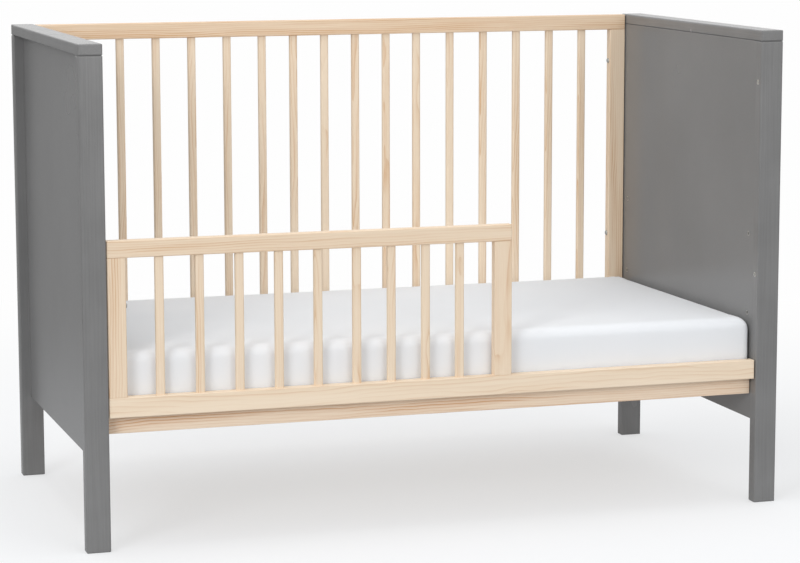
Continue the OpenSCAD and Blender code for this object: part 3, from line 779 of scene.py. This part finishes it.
def woven_cloth(name, light, dark, thread, relief, roughness, sheen):
    """Plain cloth. thread is the distance between its raised threads in metres."""
    material, tree = new_material(name)
    place = add_node(tree, "ShaderNodeTexCoord")
    per_metre = 2 * math.pi / thread
    turned = add_node(tree, "ShaderNodeMapping",
                      {"Vector": place.outputs["Object"], "Scale": (per_metre,) * 3,
                       "Rotation": (0.0, 0.0, math.radians(2))})
    axes = add_node(tree, "ShaderNodeSeparateXYZ", {0: turned.outputs["Vector"]})
    waves = [add_node(tree, "ShaderNodeMath", {0: axes.outputs[axis]}, operation="SINE")
             for axis in "XYZ"]
    warp = add_node(tree, "ShaderNodeMath",
                    {0: waves[0].outputs["Value"], 1: waves[1].outputs["Value"]},
                    operation="ADD")
    weave = add_node(tree, "ShaderNodeMath",
                     {0: warp.outputs["Value"], 1: waves[2].outputs["Value"]},
                     operation="ADD")
    slub = add_node(tree, "ShaderNodeTexNoise",
                    {"Vector": place.outputs["Object"], "Scale": 260.0, "Detail": 3.0})
    rough_weave = add_node(tree, "ShaderNodeMath",
                           {0: slub.outputs["Fac"], 1: 1.6, 2: weave.outputs["Value"]},
                           operation="MULTIPLY_ADD")
    cloud = add_node(tree, "ShaderNodeTexNoise",
                     {"Vector": place.outputs["Object"], "Scale": 5.0, "Detail": 2.0})
    tint = add_node(tree, "ShaderNodeMix",
                    {"Factor": cloud.outputs["Fac"], "A": colour(dark), "B": colour(light)},
                    data_type="RGBA")
    bump = add_node(tree, "ShaderNodeBump",
                    {"Height": rough_weave.outputs["Value"], "Strength": 0.35,
                     "Distance": relief})
    skin = add_node(tree, "ShaderNodeBsdfPrincipled",
                    {"Base Color": tint.outputs["Result"], "Roughness": roughness,
                     "Sheen Weight": sheen, "Sheen Roughness": 0.4,
                     "Normal": bump.outputs["Normal"]})
    finish_material(tree, skin.outputs["BSDF"])
    return material


mattress.data.materials.clear()
mattress.data.materials.append(
    woven_cloth("woven_ticking", "#ece9e0", "#e2ded2", 0.0016, 0.0002, 0.85, 0.1))
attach(mattress, "mattress")
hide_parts("mattress")


# --- Fitted sheet ------------------------------------------------------------------------------
# White cotton jersey, cut as a rectangle with a square out of each corner and sewn there into a
# box. An elastic in its hem draws it under the mattress, so it lies smooth on top, ripples a
# little down the sides and gathers underneath.
cloth_thickness = 0.0007
hem_width = 0.090              # how far the cloth turns under the mattress
ease = 0.0004                  # the cloth stands this far off the cover
slack_height = 0.0011          # how high the cloth lies loose on top
ripple_height = 0.0012         # how high its ripples stand on the sides
pull_height = 0.0004           # how high the pull lines at its corners are

sheet_mesh = mattress.data.copy()
sheet_mesh.name = "fitted_sheet_cloth"
sheet_mesh.materials.clear()
fitted_sheet = bpy.data.objects.new("fitted_sheet_cloth", sheet_mesh)
scene.collection.objects.link(fitted_sheet)

shell = bmesh.new()
shell.from_mesh(sheet_mesh)
underside = mattress_lo.z + 0.004   # faces below this lie on the slats
window_lo = mattress_lo + Vector((hem_width, hem_width, 0))
window_hi = mattress_hi - Vector((hem_width, hem_width, 0))
covered = [f for f in shell.faces
           if f.calc_center_median().z < underside
           and window_lo.x < f.calc_center_median().x < window_hi.x
           and window_lo.y < f.calc_center_median().y < window_hi.y]
bmesh.ops.delete(shell, geom=covered, context="FACES")
shell.normal_update()


def step_up(value, low, high):
    """0 below low, 1 above high and a smooth rise between."""
    t = min(1.0, max(0.0, (value - low) / (high - low)))
    return t * t * (3 - 2 * t)


def sheet_relief(co, normal):
    """How far the cloth stands proud at a point: broad slack on top, ripples down the sides and
    pull lines that run from each corner."""
    upright = 1.0 - abs(normal.z)
    height = (co.z - mattress_lo.z) / (mattress_hi.z - mattress_lo.z)
    to_x = min(co.x - mattress_lo.x, mattress_hi.x - co.x)
    to_y = min(co.y - mattress_lo.y, mattress_hi.y - co.y)
    corner = math.hypot(to_x, to_y)
    slack = 0.5 + 0.5 * noise.noise(Vector((co.x * 5.0, co.y * 7.0, co.z * 5.0)))
    slack += 0.25 * noise.noise(Vector((co.x * 16.0, co.y * 22.0, 3.1)))
    along = co.x + co.y
    ripple = noise.noise(Vector((along * 17.0, co.z * 4.0, 7.7)))
    ripple += 0.5 * noise.noise(Vector((along * 41.0, co.z * 6.0, 1.3)))
    ripple *= upright * (1.0 - 0.75 * step_up(height, 0.2, 1.0))
    turn = math.atan2(to_y, to_x)
    pull = math.cos(turn * 22.0 + 2.0 * noise.noise(Vector((co.x * 9, co.y * 9, 0.5))))
    pull *= (1.0 - step_up(corner, 0.03, 0.20)) * step_up(corner, 0.0, 0.03)
    return slack_height * slack + ripple_height * ripple + pull_height * pull


for v in shell.verts:
    v.co += v.normal * (ease + max(0.0, sheet_relief(v.co, v.normal)))
shell.to_mesh(sheet_mesh)
shell.free()
for polygon in sheet_mesh.polygons:
    polygon.use_smooth = True
thick = fitted_sheet.modifiers.new("cloth", "SOLIDIFY")
thick.thickness = cloth_thickness
thick.offset = 1.0
apply_modifiers(fitted_sheet)
fitted_sheet.data.materials.clear()
fitted_sheet.data.materials.append(
    woven_cloth("cotton_jersey", "#f2f4f7", "#eceff3", 0.0013, 0.00016, 0.9, 0.25))
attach(fitted_sheet, "mattress")
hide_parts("fitted_sheet")


# --- Stitches ----------------------------------------------------------------------------------
# The sheet's four corner seams and the casing of its elastic are sewn with a lock stitch in
# cotton thread. The stitches lie half sunk in the cloth.
thread_radius = 0.0004
stitch_length = 0.0026
stitch_pitch = 0.0035
casing_width = 0.008           # from the cloth's cut edge to the casing's row of stitches
seam_step = 0.010              # distance between the points that carry a row over the cloth
seam_points = 10               # up one corner seam
seam_start = 0.012             # height of a corner seam's lowest point above the underside
look_from = 0.05               # how far outside a corner the look for its cloth starts

stitch_tree, group = new_tree("stitch_rows", {"Radius": thread_radius, "Stitch": stitch_length,
                                              "Pitch": stitch_pitch})
rows = add_node(stitch_tree, "GeometryNodeMeshToCurve", {"Mesh": group.outputs["Geometry"]})
marks = add_node(stitch_tree, "GeometryNodeCurveToPoints",
                 {"Curve": rows.outputs["Curve"], "Length": group.outputs["Pitch"]},
                 mode="LENGTH")
one_stitch = rod(stitch_tree, 6, group.outputs["Radius"], group.outputs["Stitch"],
                 scaled(stitch_tree, group.outputs["Stitch"], -0.5))
sewn = add_node(stitch_tree, "GeometryNodeInstanceOnPoints",
                {"Points": marks.outputs["Points"], "Instance": one_stitch.outputs[0],
                 "Rotation": marks.outputs["Rotation"]})
real = add_node(stitch_tree, "GeometryNodeRealizeInstances", {"Geometry": sewn.outputs[0]})
dressed = add_node(stitch_tree, "GeometryNodeSetMaterial",
                   {"Geometry": real.outputs[0], "Material": group.outputs["Material"]})
add_node(stitch_tree, "NodeGroupOutput", {"Geometry": dressed.outputs[0]})

cotton_thread, tree = new_material("cotton_thread")
skin = add_node(tree, "ShaderNodeBsdfPrincipled",
                {"Base Color": colour("#f1f3f6"), "Roughness": 0.65, "Sheen Weight": 0.2})
finish_material(tree, skin.outputs["BSDF"])

cloth_surface = BVHTree.FromPolygons([v.co for v in fitted_sheet.data.vertices],
                                     [p.vertices for p in fitted_sheet.data.polygons])


def on_cloth(start, way):
    """Where a straight look from start along way meets the cloth."""
    return cloth_surface.ray_cast(start, Vector(way).normalized())[0]


seam_paths = []
for side, end in ((-1, -1), (1, -1), (1, 1), (-1, 1)):
    corner = Vector((mattress_hi.x if side > 0 else mattress_lo.x,
                     mattress_hi.y if end > 0 else mattress_lo.y, 0.0))
    outside = corner + Vector((side, end, 0.0)) * look_from
    heights = [mattress_lo.z + seam_start + seam_step * k for k in range(seam_points)]
    seam_paths.append([on_cloth(Vector((outside.x, outside.y, z)), (-side, -end, 0))
                       for z in heights])
sewn_lo = window_lo - Vector((casing_width, casing_width, 0))
sewn_hi = window_hi + Vector((casing_width, casing_width, 0))
turns = [(sewn_lo.x, sewn_lo.y), (sewn_hi.x, sewn_lo.y), (sewn_hi.x, sewn_hi.y),
         (sewn_lo.x, sewn_hi.y)]
for (x0, y0), (x1, y1) in zip(turns, turns[1:] + turns[:1]):
    count = round(math.hypot(x1 - x0, y1 - y0) / seam_step)
    seam_paths.append([on_cloth(Vector((x0 + (x1 - x0) * k / count,
                                        y0 + (y1 - y0) * k / count, 0.0)), (0, 0, 1))
                       for k in range(count + 1)])

places, edges = [], []
for path in seam_paths:
    found = [place for place in path if place is not None]
    edges += [(len(places) + k, len(places) + k + 1) for k in range(len(found) - 1)]
    places += found
stitch_lines = bpy.data.meshes.new("sheet_stitches")
stitch_lines.from_pydata([tuple(place) for place in places], edges, [])
sheet_stitches = grow("sheet_stitches", stitch_lines, stitch_tree, cotton_thread)
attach(sheet_stitches, "mattress")
